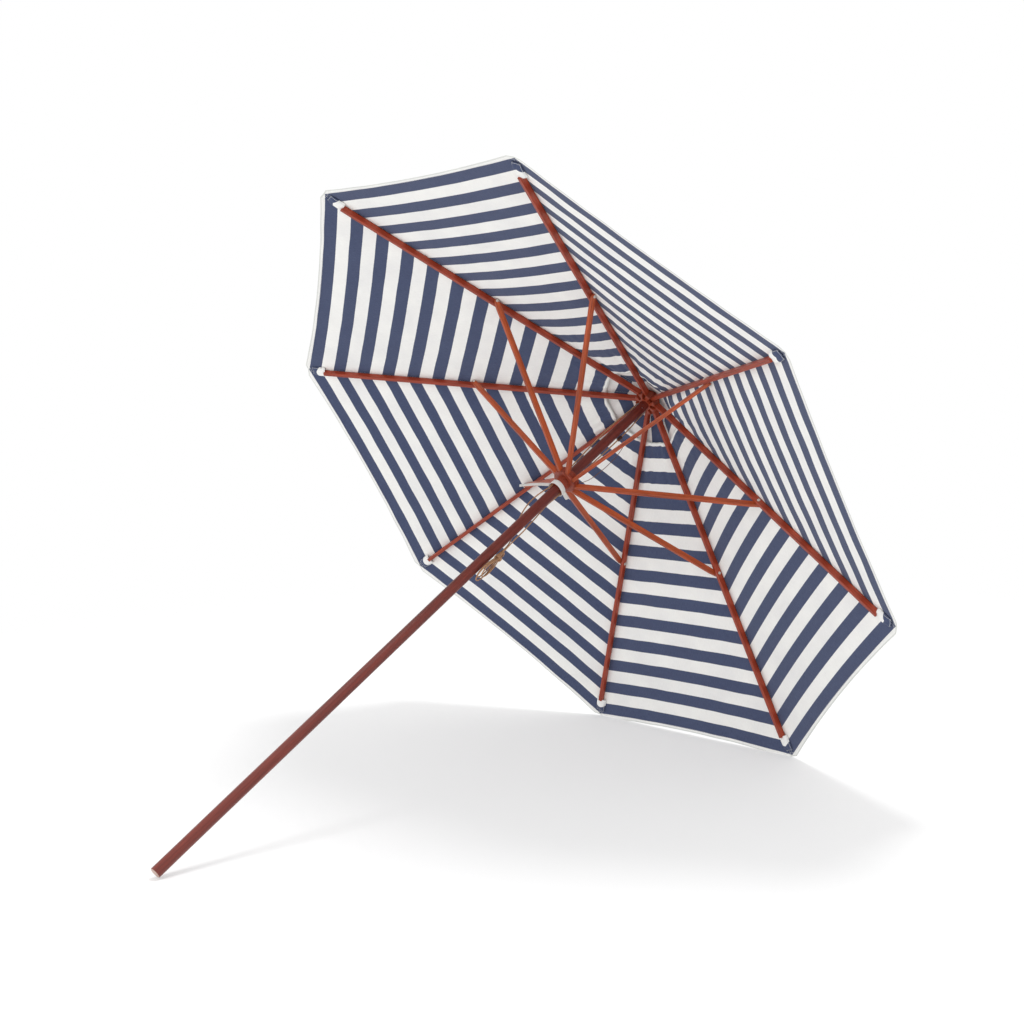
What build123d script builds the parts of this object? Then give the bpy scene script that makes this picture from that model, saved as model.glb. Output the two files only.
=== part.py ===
# Garden parasol with a hardwood pole, eight ribs and a cord-and-sheave lift.
# Millimetres. The pole stands along +Z with the centre of its foot at the origin.
# Rib 1 points along +X and the ribs are numbered anticlockwise seen from above.
from build123d import *
import math
import os

# ---- overall sizes ----
rib_count = 8
crown_pivot_z = 2566.0        # rib hinges above the foot of the pole
rib_slope = 22.5              # degrees below level with the canopy open
rib_length = 1350.0           # crown hinge to the square shoulder of the rib
canopy_past_rib = 65.8        # level distance from the rib's shoulder to the cut corner of the canopy
strut_joint_at = 685.2        # crown hinge to the bolt that carries the strut

# ---- pole, ribs and struts ----
pole_dia = 38.0
pole_above_pivot = 8.0
pole_edge = 1.5
rib_width = 15.0
rib_height = 23.0
rib_round = 3.0
tongue_length = 35.0
tongue_root = 5.0             # length of the tongue inside the rib's end
tongue_width = 10.0
tongue_low = 2.0              # tongue underside above the rib's centre line
tongue_thick = 6.0
strut_width = 13.0
strut_height = 21.0
strut_tip_height = 16.0       # the end at the rib is slimmer, to stay under the fabric
strut_taper = 30.0
strut_round = 2.0
lap_gap = 0.5                 # between a rib's side and the strut beside it
pivot_radius = 37.0           # hinges of ribs and struts from the pole axis

# ---- hinge pins and bolts ----
pin_dia = 4.0
pin_reach = 4.0               # pin length in the wood on each side of a slot
bolt_dia = 5.0
bolt_head_dia = 12.0
bolt_head_high = 3.2
bolt_head_round = 2.6
running_gap = 0.05            # radial, pin or bolt in a turning hole
seat_gap = 0.03               # radial, pin or bolt in a hole that holds it
slot_gap = 0.5                # each side of a rib or strut in its hub slot
end_gap = 0.5                 # rounded end of a rib or strut to the slot's floor
pin_end_gap = 0.1
touch_gap = 0.3               # soft or loose pieces to what they rest on
cut_past = 5.0                # a cut runs this far out of the face it opens

# ---- hubs ----
crown_dia = 96.0
crown_below = 24.0
crown_above = 16.0
crown_boss_dia = 48.0
crown_boss_high = 20.0
pin_cover = 0.9               # wood between the end of a runner pin and the runner's rim
runner_below = 14.0
runner_above = 22.0
neck_wall = 3.6               # outside the cord channels
neck_length = 42.0
neck_edge = 2.0
runner_slide_gap = 0.5        # radial, runner on the pole
hub_edge = 6.0
slot_roof = 1.5               # above a rib end, or below a strut end

# ---- lift cord and sheave ----
cord_dia = 5.0
sheave_below_pivot = 56.0
sheave_flange_high = 4.7
sheave_width = 9.0
sheave_cheek = 1.0
sheave_bevel = 1.5
sheave_slot_room = 2.0        # below the sheave
cord_slot_room = 3.0          # above the cord on the sheave
cord_beside_pole = 0.5
axle_dia = 5.0
axle_end_depth = 1.5          # ends of the axle below the pole's surface
cord_on_sheave_gap = 0.2
channel_gap = 0.9             # cord to the walls of its channel in the runner
sheave_slot_gap = 0.5
stop_dia = 14.0
stop_length = 24.0
stop_edge = 3.0
stop_gap = 0.25
stop_pole_gap = 1.5
lanyard_dia = 2.5

# ---- canopy, vent cap, strap and finial ----
fabric_thick = 1.2
fabric_over_rib = 1.3         # ridge of the fabric above the rib's flat top
gore_sag = 15.0               # middle of a gore at the hem below its two ribs
hem_hollow = 18.0             # middle of a hem inside the straight line
corner_cut = 55.0
vent_hole_r = 173.0
vent_cap_r = 280.0
vent_eye_r = 27.0
pocket_width = 44.0
pocket_length = 48.0
pocket_low = -1.0
pocket_mouth = 1.0            # the hollow of a pocket opens this far before its edge
strap_thick = 1.5
strap_width = 22.0
strap_below_neck = 8.0
strap_tail_length = 115.0
strap_tail_width = 16.0
strap_end_length = 30.0
finial_flange_dia = 60.0
finial_flange_high = 8.0
finial_neck_dia = 26.0
finial_neck_high = 10.0
finial_ball_dia = 46.0

# ---- derived places ----
gore_half = 180.0 / rib_count
slope = math.radians(rib_slope)
half = math.radians(gore_half)
pole_r = pole_dia / 2
cord_r = cord_dia / 2
runner_pivot_z = crown_pivot_z - 2 * strut_joint_at * math.sin(slope)
strut_offset = rib_width / 2 + lap_gap + strut_width / 2
cord_x = pole_r + cord_beside_pole + cord_r
sheave_z = crown_pivot_z - sheave_below_pivot
sheave_groove_r = cord_x - cord_r - cord_on_sheave_gap
sheave_flange_r = sheave_groove_r + sheave_flange_high
channel_x = cord_x + cord_r + channel_gap
channel_y = cord_r + channel_gap
neck_dia = 2 * (channel_x + neck_wall)
runner_pin_end = strut_offset + strut_width / 2 + slot_gap + pin_reach
runner_dia = 2 * (math.hypot(pivot_radius + pin_dia / 2, runner_pin_end) + pin_cover)
canopy_corner_r = pivot_radius + rib_length * math.cos(slope) + canopy_past_rib
runner_top_z = runner_pivot_z + runner_above
neck_foot_z = runner_pivot_z - runner_below - neck_length
ridge_offset = rib_height / 2 + fabric_over_rib
full_corner_r = canopy_corner_r + corner_cut / 2 * math.tan(half)
stand_off = pole_r + stop_pole_gap + stop_dia / 2
hem_distance = full_corner_r * math.cos(half)
finial_seat_z = crown_pivot_z + crown_above + crown_boss_high

os.makedirs("parts", exist_ok=True)


def save(shape, node):
    export_step(shape, "parts/" + node + ".step")


def turned(shape, number):
    """Turn a piece made for rib 1 to the place of another rib."""
    return Rot(0, 0, 360.0 / rib_count * (number - 1)) * shape


def on_rib(shape):
    """Place a piece drawn with X along rib 1 and Z square to it, from the crown hinge."""
    return Pos(pivot_radius, 0, crown_pivot_z) * Rot(0, rib_slope, 0) * shape


def on_strut(shape):
    """Place a piece drawn with X along strut 1, from its hinge in the runner."""
    return Pos(pivot_radius, strut_offset, runner_pivot_z) * Rot(0, -rib_slope, 0) * shape


def cross_pin(radius, start, end):
    """A cylinder along Y between two values of Y."""
    middle = (start + end) / 2
    return Pos(0, middle, 0) * Rot(90, 0, 0) * Cylinder(radius, end - start)


def block(low, high):
    """A box between two corners."""
    size = [high[i] - low[i] for i in range(3)]
    centre = [(high[i] + low[i]) / 2 for i in range(3)]
    return Pos(*centre) * Box(*size)


def lathe(points):
    """A turned piece from a half outline of (radius, height) points."""
    outline = Polyline([(r, 0, z) for r, z in points], close=True)
    return revolve(make_face(outline), Axis.Z)


# ---- pole ----
def pole():
    top = crown_pivot_z + pole_above_pivot
    shape = Pos(0, 0, top / 2) * Cylinder(pole_r, top)
    shape = chamfer(shape.edges().filter_by(GeomType.CIRCLE), pole_edge)
    half_slot = sheave_width / 2 + sheave_slot_gap
    slot_low = sheave_z - sheave_flange_r - sheave_slot_room
    slot_high = sheave_z + cord_x + cord_r + cord_slot_room
    past = pole_r + cut_past
    shape -= block((-past, -half_slot, slot_low), (past, half_slot, slot_high))
    shape -= Pos(0, 0, sheave_z) * cross_pin(axle_dia / 2 + seat_gap, -past, past)
    return shape


def sheave():
    groove_half = sheave_width / 2 - sheave_cheek
    rim = sheave_width / 2
    outline = [(axle_dia / 2 + running_gap, -rim), (sheave_flange_r, -rim)]
    outline += [(sheave_flange_r, -groove_half), (sheave_groove_r, -groove_half + sheave_bevel)]
    outline += [(sheave_groove_r, groove_half - sheave_bevel), (sheave_flange_r, groove_half)]
    outline += [(sheave_flange_r, rim), (axle_dia / 2 + running_gap, rim)]
    return Pos(0, 0, sheave_z) * Rot(90, 0, 0) * lathe(outline)


def sheave_axle():
    reach = pole_r - axle_end_depth
    return Pos(0, 0, sheave_z) * cross_pin(axle_dia / 2, -reach, reach)


# ---- hubs ----
def hub_disc(radius, below, above):
    """A turned disc with rounded edges, cut later by its slots."""
    disc = Pos(0, 0, (above - below) / 2) * Cylinder(radius, above + below)
    return fillet(disc.edges().filter_by(GeomType.CIRCLE), hub_edge)


def crown_hub():
    shape = hub_disc(crown_dia / 2, crown_below, crown_above)
    boss = Pos(0, 0, crown_above + crown_boss_high / 2)
    shape += boss * Cylinder(crown_boss_dia / 2, crown_boss_high)
    depth = crown_below + cut_past + pole_above_pivot
    shape -= Pos(0, 0, pole_above_pivot - depth / 2) * Cylinder(pole_r + seat_gap, depth)
    floor = pivot_radius - rib_height / 2 - end_gap
    side = rib_width / 2 + slot_gap
    roof = rib_height / 2 + slot_roof
    slot = block((floor, -side, -crown_below - cut_past), (crown_dia, side, roof))
    reach = side + pin_reach + pin_end_gap
    slot += Pos(pivot_radius, 0, 0) * cross_pin(pin_dia / 2 + seat_gap, -reach, reach)
    for number in range(1, rib_count + 1):
        shape -= turned(slot, number)
    return Pos(0, 0, crown_pivot_z) * shape


def crown_pins():
    reach = rib_width / 2 + slot_gap + pin_reach
    pin = Pos(pivot_radius, 0, crown_pivot_z) * cross_pin(pin_dia / 2, -reach, reach)
    return Compound([turned(pin, number) for number in range(1, rib_count + 1)])


def runner_hub():
    shape = hub_disc(runner_dia / 2, runner_below, runner_above)
    neck = Pos(0, 0, -runner_below - neck_length / 2) * Cylinder(neck_dia / 2, neck_length)
    shape += chamfer(neck.edges().group_by(Axis.Z)[0], neck_edge)
    full = 2 * (runner_below + neck_length + runner_above)
    shape -= Cylinder(pole_r + runner_slide_gap, full)
    shape -= Box(2 * channel_x, 2 * channel_y, full)
    floor = pivot_radius - strut_height / 2 - end_gap
    side = strut_width / 2 + slot_gap
    bed = -strut_height / 2 - slot_roof
    above = runner_above + cut_past
    slot = block((floor, strut_offset - side, bed), (runner_dia, strut_offset + side, above))
    start = strut_offset - side - pin_reach - pin_end_gap
    end = runner_pin_end + pin_end_gap
    slot += Pos(pivot_radius, 0, 0) * cross_pin(pin_dia / 2 + seat_gap, start, end)
    for number in range(1, rib_count + 1):
        shape -= turned(slot, number)
    return Pos(0, 0, runner_pivot_z) * shape


def runner_pins():
    pin = cross_pin(pin_dia / 2, 2 * strut_offset - runner_pin_end, runner_pin_end)
    pin = Pos(pivot_radius, 0, runner_pivot_z) * pin
    return Compound([turned(pin, number) for number in range(1, rib_count + 1)])


# ---- ribs and struts ----
def bar(outline, circles, width):
    """A flat bar along X from its side outline and the circles that round its ends."""
    face = make_face(Polyline(outline, close=True))
    for place, radius in circles:
        face += Pos(place, 0) * Circle(radius)
    return extrude(Plane.XZ * face, width / 2, both=True)


def rib():
    side = rib_height / 2
    outline = [(0, -side), (rib_length, -side), (rib_length, side), (0, side)]
    shape = bar(outline, [(0, side)], rib_width)
    shape = fillet(shape.edges().filter_by(Axis.X), rib_round)
    tongue_high = tongue_low + tongue_thick
    half_tongue = tongue_width / 2
    shape += block((rib_length - tongue_root, -half_tongue, tongue_low),
                   (rib_length + tongue_length, half_tongue, tongue_high))
    shape -= cross_pin(pin_dia / 2 + running_gap, -rib_width, rib_width)
    shape -= Pos(strut_joint_at, 0, 0) * cross_pin(bolt_dia / 2 + seat_gap, -rib_width, rib_width)
    return on_rib(shape)


def rib_bolt():
    """Cross-bolt with a domed head on each side, through the rib and the strut beside it."""
    near = -rib_width / 2
    far = rib_width / 2 + lap_gap + strut_width + touch_gap
    shape = cross_pin(bolt_dia / 2, near, far)
    for place, side in ((near, -1), (far, 1)):
        head = Pos(0, 0, bolt_head_high / 2) * Cylinder(bolt_head_dia / 2, bolt_head_high)
        head = fillet(head.edges().group_by(Axis.Z)[-1], bolt_head_round)
        shape += Pos(0, place, 0) * Rot(-90 * side, 0, 0) * head
    return on_rib(Pos(strut_joint_at, 0, 0) * shape)


def strut():
    side = strut_height / 2
    tip = strut_tip_height / 2
    taper_at = strut_joint_at - strut_taper
    outline = [(0, -side), (taper_at, -side), (strut_joint_at, -tip)]
    outline += [(strut_joint_at, tip), (taper_at, side), (0, side)]
    shape = bar(outline, [(0, side), (strut_joint_at, tip)], strut_width)
    sides = shape.faces().filter_by(Axis.Y)
    shape = fillet(sides.edges(), strut_round)
    shape -= cross_pin(pin_dia / 2 + running_gap, -strut_width, strut_width)
    shape -= Pos(strut_joint_at, 0, 0) * cross_pin(bolt_dia / 2 + running_gap, -strut_width, strut_width)
    return on_strut(shape)


# ---- canopy ----
def rib_line_z(radius, lift):
    """Height of a line parallel to the ribs, lifted square to them."""
    return crown_pivot_z - (radius - pivot_radius) * math.tan(slope) + lift / math.cos(slope)


def gore_point(distance, across, height_at, sag):
    """A point of the gore beside rib 1: distance out along its middle, across towards the rib."""
    x = distance * math.cos(half) + across * math.sin(half)
    y = distance * math.sin(half) - across * math.cos(half)
    drop = sag / hem_distance * (distance - across / math.tan(half))
    return (x, y, height_at(distance / math.cos(half)) - drop)


def half_gore(inner_r, outline, height_at, sag):
    """A flat half gore of upright thickness, from the eye of the canopy out to its hem."""
    inner = inner_r * math.cos(half)
    corners = [(inner, inner * math.tan(half)), (inner, touch_gap)] + outline
    points = [gore_point(d, a, height_at, sag) for d, a in corners]
    face = make_face(Polyline(points, close=True))
    return extrude(face, fabric_thick, dir=(0, 0, 1))


def sector(inner_r, outline, height_at, sag):
    """The two half gores on either side of rib 1."""
    left = half_gore(inner_r, outline, height_at, sag)
    return left + mirror(left, Plane.XZ)


def canopy_sector():
    across_cut = hem_distance * math.tan(half) - corner_cut / 2 / math.cos(half)
    cut_side = (hem_distance, across_cut)
    cut_distance = canopy_corner_r * math.cos(half)
    cut_middle = (cut_distance, cut_distance * math.tan(half))
    outline = [(hem_distance - hem_hollow, touch_gap), cut_side, cut_middle]

    def height_at(radius):
        return rib_line_z(radius, ridge_offset)

    return sector(vent_hole_r, outline, height_at, gore_sag)


def rib_pocket():
    """Sewn pocket under the corner of the canopy that takes the tongue of the rib."""
    fall = math.tan(half) * math.tan(slope)
    fall += gore_sag / hem_distance * (math.sin(half) + math.cos(half) / math.tan(half))
    fall *= math.cos(slope)
    side = pocket_width / 2
    roof = ridge_offset - touch_gap
    section = [(-side, roof - fall * side), (0, roof), (side, roof - fall * side)]
    section += [(side, pocket_low), (-side, pocket_low)]
    face = make_face(Polyline([(rib_length + touch_gap, y, z) for y, z in section], close=True))
    shape = extrude(face, pocket_length, dir=(1, 0, 0))
    half_tongue = tongue_width / 2 + touch_gap
    low = (rib_length - pocket_mouth, -half_tongue, tongue_low - touch_gap)
    high = (rib_length + tongue_length + touch_gap, half_tongue, tongue_low + tongue_thick + touch_gap)
    return on_rib(shape - block(low, high))


def vent_sector():
    corner_z = rib_line_z(vent_cap_r, ridge_offset) + fabric_thick + touch_gap
    eye_z = finial_seat_z - fabric_thick - touch_gap
    pitch = (eye_z - corner_z) / (vent_cap_r - vent_eye_r)
    distance = vent_cap_r * math.cos(half)
    outline = [(distance, touch_gap), (distance, distance * math.tan(half))]

    def height_at(radius):
        return eye_z - (radius - vent_eye_r) * pitch

    return sector(vent_eye_r, outline, height_at, 0)


def finial():
    flange = finial_flange_dia / 2
    neck = finial_neck_dia / 2
    outline = [(0, 0), (flange, 0), (flange, finial_flange_high * 0.5), (neck, finial_flange_high)]
    outline += [(neck, finial_flange_high + finial_neck_high), (0, finial_flange_high + finial_neck_high)]
    shape = lathe(outline)
    ball = finial_ball_dia / 2
    shape += Pos(0, 0, finial_flange_high + finial_neck_high + ball * 0.8) * Sphere(ball)
    return Pos(0, 0, finial_seat_z) * shape


# ---- closing strap on the runner's neck ----
def strap_piece(start, direction, length):
    """A flat strap end that leaves the ring along a direction."""
    along = Vector(*direction).normalized()
    face = along.cross(Vector(0, 0, 1)).normalized()
    plane = Plane(origin=start, x_dir=along, z_dir=face)
    return plane * (Pos(length / 2, 0, 0) * Box(length, strap_tail_width, strap_thick))


def closing_strap():
    inner = neck_dia / 2 + touch_gap
    outer = inner + strap_thick
    middle = neck_foot_z - strap_below_neck + strap_width / 2
    shape = Pos(0, 0, middle) * (Cylinder(outer, strap_width) - Cylinder(inner, 2 * strap_width))
    ring_r = (inner + outer) / 2
    for turn, direction, length in ((-38, (0.62, -0.50, -0.60), strap_tail_length),
                                    (150, (-0.75, 0.45, -0.35), strap_end_length)):
        angle = math.radians(turn)
        start = (ring_r * math.cos(angle), ring_r * math.sin(angle), middle)
        shape += strap_piece(start, direction, length)
    return shape


# ---- lift cord ----
def bend_radii(points):
    """The largest tangent arc at each corner: 0.45 of the shorter run over tan of half the turn."""
    radii = []
    for before, corner, after in zip(points, points[1:], points[2:]):
        first = Vector(*corner) - Vector(*before)
        second = Vector(*after) - Vector(*corner)
        turn = math.radians(first.get_angle(second))
        radii.append(0.45 * min(first.length, second.length) / math.tan(turn / 2))
    return radii


def tube(points, diameter, label, radii=None):
    radii = radii or bend_radii(points)
    path = FilletPolyline(points, radius=radii)
    start = Plane(origin=path @ 0, z_dir=path % 0)
    shape = sweep(start * Circle(diameter / 2), path=path)
    wanted = math.pi * diameter ** 2 / 4 * path.length
    print(label, "length", round(path.length, 1), "least radius", round(min(radii), 1),
          "volume ratio", round(shape.volume / wanted, 4))
    return shape


# The falls hang a little slack between the runner and the sheave. The one with
# the stop stands clear of the pole.
falls_points = [(cord_x, 0, runner_top_z), (cord_x, 0, runner_top_z + 40),
                (cord_x + 6, -2, sheave_z - 275), (cord_x + 8, -1, sheave_z - 125),
                (cord_x, 0, sheave_z - 35), (cord_x, 0, sheave_z + cord_x),
                (-cord_x, 0, sheave_z + cord_x), (-cord_x, 0, sheave_z - 35),
                (-stand_off, 3, sheave_z - 100), (-stand_off, 1, sheave_z - 225),
                (-cord_x, 0, runner_top_z + 40), (-cord_x, 0, runner_top_z)]
sheave_corners = (4, 5)       # the two corners of the falls that run round the sheave
stop_run = (8, 9)             # the run of the falls that carries the stop

# The end that lifts the runner comes out below its neck, bows out and passes behind the pole.
# The last number of each point here is its depth below the foot of the neck.
lift_end_route = [(cord_x, 0, 0), (cord_x, 0, 23.5), (29, -3, 53.5), (33, -5, 91.5),
                  (32, -8, 129.5), (24, -17, 163.5), (10, -25, 197.5), (-6, -27, 233.5),
                  (-20, -21, 268.5), (-28, -11, 303.5), (-30, -1, 337.5), (-31, 4, 371.5)]

# The hauling end runs down the other side of the pole to the hank.
haul_end_route = [(-cord_x, 0, 0), (-cord_x, 0, 27.5), (-20, -13, 63.5),
                  (-22, -12, 105.5), (-25, -5, 147.5), (-24, 7, 189.5), (-28, 8, 233.5),
                  (-26, 12, 280.5), (-29, 13, 326.5), (-30, 10, 371.5)]

# A thin lanyard hangs from the stop on the fall to the top of the runner.
# The last number of each point here is its height above the top of the runner.
lanyard_route = [(-36.2, 4, 288.5), (-47, 7, 284.5), (-60, 11, 265.5), (-67, 14, 216.5),
                 (-69, 15, 160.5), (-66, 15, 108.5), (-62, 13, 60.5), (-51, 8, 24.5),
                 (-37, 0, lanyard_dia / 2 + touch_gap)]

hank_knot = (-31.0, 7.0, 382.5)
hank_knot_size = (21.0, 28.0, 38.0)
hank_loops_size = (24.0, 44.0, 100.0)
hank_loops_aside = (-2.0, 6.0)
hank_round = 8.0
arc_trim = 0.05               # keeps a short straight between the two arcs over the sheave


def falls():
    radii = bend_radii(falls_points)
    over_sheave = cord_x - arc_trim
    for corner in sheave_corners:
        radii[corner - 1] = over_sheave
    return tube(falls_points, cord_dia, "falls", radii)


def rope_stop():
    """Small turned stop on the hauling fall."""
    high, low = [Vector(*falls_points[place]) for place in stop_run]
    plane = Plane(origin=(high + low) / 2, z_dir=(high - low).normalized())
    outside = Cylinder(stop_dia / 2, stop_length)
    outside = fillet(outside.edges().filter_by(GeomType.CIRCLE), stop_edge)
    return plane * (outside - Cylinder(cord_r + stop_gap, 2 * stop_length))


def cord_in_runner():
    """The two straight lengths of the cord inside the channels of the runner."""
    length = runner_top_z - neck_foot_z
    middle = (runner_top_z + neck_foot_z) / 2
    lengths = [Pos(x, 0, middle) * Cylinder(cord_r, length) for x in (cord_x, -cord_x)]
    return Compound(lengths)


def hank():
    """Outer shape of the knot and of the loops that hang below it."""
    x, y, depth = hank_knot
    knot = Box(*hank_knot_size)
    knot = fillet(knot.edges(), hank_round)
    loops = Box(*hank_loops_size)
    loops = fillet(loops.edges(), hank_round)
    below = -hank_knot_size[2] / 2 - hank_loops_size[2] / 2 + hank_round
    return Pos(x, y, neck_foot_z - depth) * (knot + Pos(*hank_loops_aside, below) * loops)


lift_end_points = [(x, y, neck_foot_z - depth) for x, y, depth in lift_end_route]
haul_end_points = [(x, y, neck_foot_z - depth) for x, y, depth in haul_end_route]
lanyard_points = [(x, y, runner_top_z + high) for x, y, high in lanyard_route]

save(pole(), "pole")
save(crown_hub(), "crown_hub")
save(crown_pins(), "crown_pins")
save(finial(), "finial")
save(sheave(), "sheave")
save(sheave_axle(), "sheave_axle")
save(runner_hub(), "runner_hub")
save(runner_pins(), "runner_pins")
save(closing_strap(), "closing_strap")
save(falls(), "halyard_falls")
save(rope_stop(), "rope_stop")
save(cord_in_runner(), "halyard_in_runner")
save(tube(lift_end_points, cord_dia, "lift end"), "halyard_lift_end")
save(tube(haul_end_points, cord_dia, "hauling end"), "halyard_hauling_end")
save(hank(), "halyard_hank")
save(tube(lanyard_points, lanyard_dia, "lanyard"), "lanyard")

rib_shape = rib()
strut_shape = strut()
bolt_shape = rib_bolt()
canopy_shape = canopy_sector()
pocket_shape = rib_pocket()
vent_shape = vent_sector()
for number in range(1, rib_count + 1):
    save(turned(rib_shape, number), f"rib_{number}")
    save(turned(strut_shape, number), f"strut_{number}")
    save(turned(bolt_shape, number), f"rib_bolt_{number}")
    save(turned(Compound([canopy_shape, pocket_shape]), number), f"canopy_{number}")
    save(turned(vent_shape, number), f"vent_cap_{number}")
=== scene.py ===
import math

import bpy
import numpy as np
from mathutils import Matrix, Vector


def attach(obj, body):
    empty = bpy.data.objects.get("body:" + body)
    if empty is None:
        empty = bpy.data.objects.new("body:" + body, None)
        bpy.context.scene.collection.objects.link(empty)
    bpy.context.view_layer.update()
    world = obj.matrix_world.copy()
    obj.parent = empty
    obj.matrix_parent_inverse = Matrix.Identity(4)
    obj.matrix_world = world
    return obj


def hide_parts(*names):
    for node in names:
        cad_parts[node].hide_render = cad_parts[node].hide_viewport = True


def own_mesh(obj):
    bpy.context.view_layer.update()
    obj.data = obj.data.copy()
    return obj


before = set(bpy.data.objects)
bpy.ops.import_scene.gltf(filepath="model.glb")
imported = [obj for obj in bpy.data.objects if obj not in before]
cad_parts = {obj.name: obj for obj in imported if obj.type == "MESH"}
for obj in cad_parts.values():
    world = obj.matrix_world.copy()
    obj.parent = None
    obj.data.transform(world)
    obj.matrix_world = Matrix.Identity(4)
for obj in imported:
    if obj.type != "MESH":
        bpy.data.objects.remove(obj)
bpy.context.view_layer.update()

# ---- sizes in metres, as in the CAD source ----
RIBS = 8
HALF = math.radians(22.5)     # half the angle between two ribs, seen from above
SLOPE = math.radians(22.5)    # of the open ribs, down from level
PIVOT_R = 0.037               # the ribs' hinges, from the pole's axis
PIVOT_Z = 2.566
RIB_LENGTH = 1.350
RIDGE = 0.0138                # underside of the fabric above a rib's centre line
CORNER_CUT = 0.055
VENT_R = 0.173                # hole in the canopy, along a rib
CAP_R = 0.280                 # vent cap, along a rib
EYE_R = 0.027                 # hole in the vent cap
SEAT_Z = 2.602                # the finial's seat on the crown
STRAP_Z = 1.9886              # closing strap, middle of its width
STRAP_R = 0.0302              # round the neck, to the middle of its thickness
RUNNER_TOP = 2.06357
NECK_FOOT = 1.98557           # lower end of the runner's neck
CORD_X = 0.022                # the cord's channels in the runner
STAND_OFF = 0.0275            # the hauling fall beside the pole
CORD = 0.005                  # diameters
THIN_CORD = 0.0025

# ---- cloth, as the photograph shows it ----
CORNER_R = 1.365              # the hem hangs a little past the plain cone of the CAD
FULL_CORNER_R = CORNER_R + CORNER_CUT / 2 * math.tan(HALF)
HEM = FULL_CORNER_R * math.cos(HALF)   # straight out from the axis to a straight hem
HEM_HOLLOW = 0.018            # middle of a hem inside the straight line
SAG = 0.011                   # of the middle of a gore near the vent, none at the hem
CAP_SAG = 0.004               # of the middle of a cap gore at its hem
CAP_HEM = 0.26                # distance out at which the cap sags fully
CAP_HOLLOW = 0.006            # middle of a cap hem inside the straight line
CAP_INNER = 0.058             # the cap's gores begin here, under the patch
CAP_REST = 0.0024             # the cap's underside below the finial's seat
CAP_LIFT = 0.0025             # the cap's corners above the canopy
PATCH_R = 0.082               # reinforcing patch at the eye of the cap
CLOTH = 0.0009                # thickness
HEM_FOLD = (0.0155, 0.0165)   # the doubled cloth of a hem thins out between these
HEM_ROUND = 0.0016            # rounded outer edge of a hem
HEM_BULGE = (0.0009, 0.0006)  # twice what a hem stands out, below and above
HEM_TAPER = (0.0007, 0.0004)  # what is rounded off at its very edge, below and above
WRINKLE = 0.0045              # short wrinkles near the vent
SLOW_WRINKLE = 0.0010         # broad waves everywhere
NEAR_VENT = 0.15              # wrinkles are full up to here and fade over as much again

# ---- stripes and seams of the cloth ----
STRIPE_START = 0.1993         # middle of the first navy stripe
STRIPE_PITCH = 0.0940
STRIPE_SHARE = 0.485          # navy part of a pitch
STRIPE_SOFT = 0.006           # soft edge, as a share of a pitch
STRIPE_BOW = 0.005            # a stripe's middle lies this much further in than its ends
HEM_BOW = 0.010               # and this much more at the hem
CAP_SHIFT = -0.009            # of the cap's stripes against the canopy's
RADIAL_GORE = 5               # the cap gore whose stripes run outward
HEM_TAPE = 0.0050             # pale edging
THREAD = (0.0012, 0.0009)     # pitch of the weave along and across
STITCH = 0.0040               # length of one stitch and its gap
STITCH_SHARE = 0.68           # of it that is thread
STITCH_HALF = 0.0006          # half the width of a row of stitches
HEM_STITCH = 0.0130           # rows of stitches from the hem and from the seam
SEAM_STITCH = 0.0060

# ---- hank, in millimetres ----
HANK_X, HANK_Y = -33.5, 8.5   # its axis
HANK_TURN = math.radians(40)
LOOP_TOP = 1600
LOOP_HIGH = 105
LOOP_THROAT = 1590            # the loops keep their width above this
LOOP_STEP = 5.6               # from loop to loop, and from wrap to wrap
WRAP_R = 11.7
WRAP_Z = 1612.5
WRAP_START = math.radians(235)
WRAP_POINTS = 31
WRAP_TURN = 12                # points in one turn

# ---- colours: light and dark for wood and cord, dark and light for the rest ----
POLE_SHADES = (0.195, 0.030, 0.018), (0.070, 0.009, 0.006)
HUB_SHADES = (0.420, 0.068, 0.027), (0.170, 0.024, 0.012)
FINIAL_SHADES = (0.400, 0.075, 0.032), (0.170, 0.027, 0.014)
STOP_SHADES = (0.110, 0.035, 0.020), (0.045, 0.014, 0.009)
RIB_SHADES = (0.410, 0.056, 0.020), (0.145, 0.017, 0.008)
STRUT_SHADES = (0.580, 0.108, 0.028), (0.230, 0.036, 0.012)
SAWN_SHADES = (0.36, 0.20, 0.15), (0.62, 0.42, 0.34)
WHITE_SHADES = (0.85, 0.845, 0.825), (0.94, 0.935, 0.915)
NAVY_SHADES = (0.044, 0.058, 0.118), (0.072, 0.092, 0.176)
TAPE_COLOUR = (0.72, 0.73, 0.70, 1.0)
THREAD_COLOUR = (0.78, 0.77, 0.74, 1.0)
CORD_SHADES = (0.56, 0.30, 0.145), (0.20, 0.085, 0.040)
LANYARD_SHADES = (0.26, 0.115, 0.060), (0.090, 0.036, 0.020)
WEBBING_SHADES = (0.62, 0.60, 0.57), (0.84, 0.83, 0.80)
STEEL_COLOUR = (0.70, 0.67, 0.63)
SHEAVE_COLOUR = (0.55, 0.54, 0.52)

# ---- camera ----
camera_data = bpy.data.cameras.new("camera")
camera = bpy.data.objects.new("camera", camera_data)
bpy.context.scene.collection.objects.link(camera)
bpy.context.scene.camera = camera
camera_data.lens = 53.02
camera_data.sensor_width = 36.0
camera_data.clip_start = 0.05
camera_data.clip_end = 100.0
right = Vector((-0.6398, 0.4450, 0.6266))
down = Vector((-0.7618, -0.2601, -0.5933))
forward = Vector((-0.1010, -0.8569, 0.5054))
turn = Matrix((right, -down, -forward)).transposed().to_4x4()
camera.matrix_world = Matrix.Translation((0.602, 4.672, -0.980)) @ turn


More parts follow.
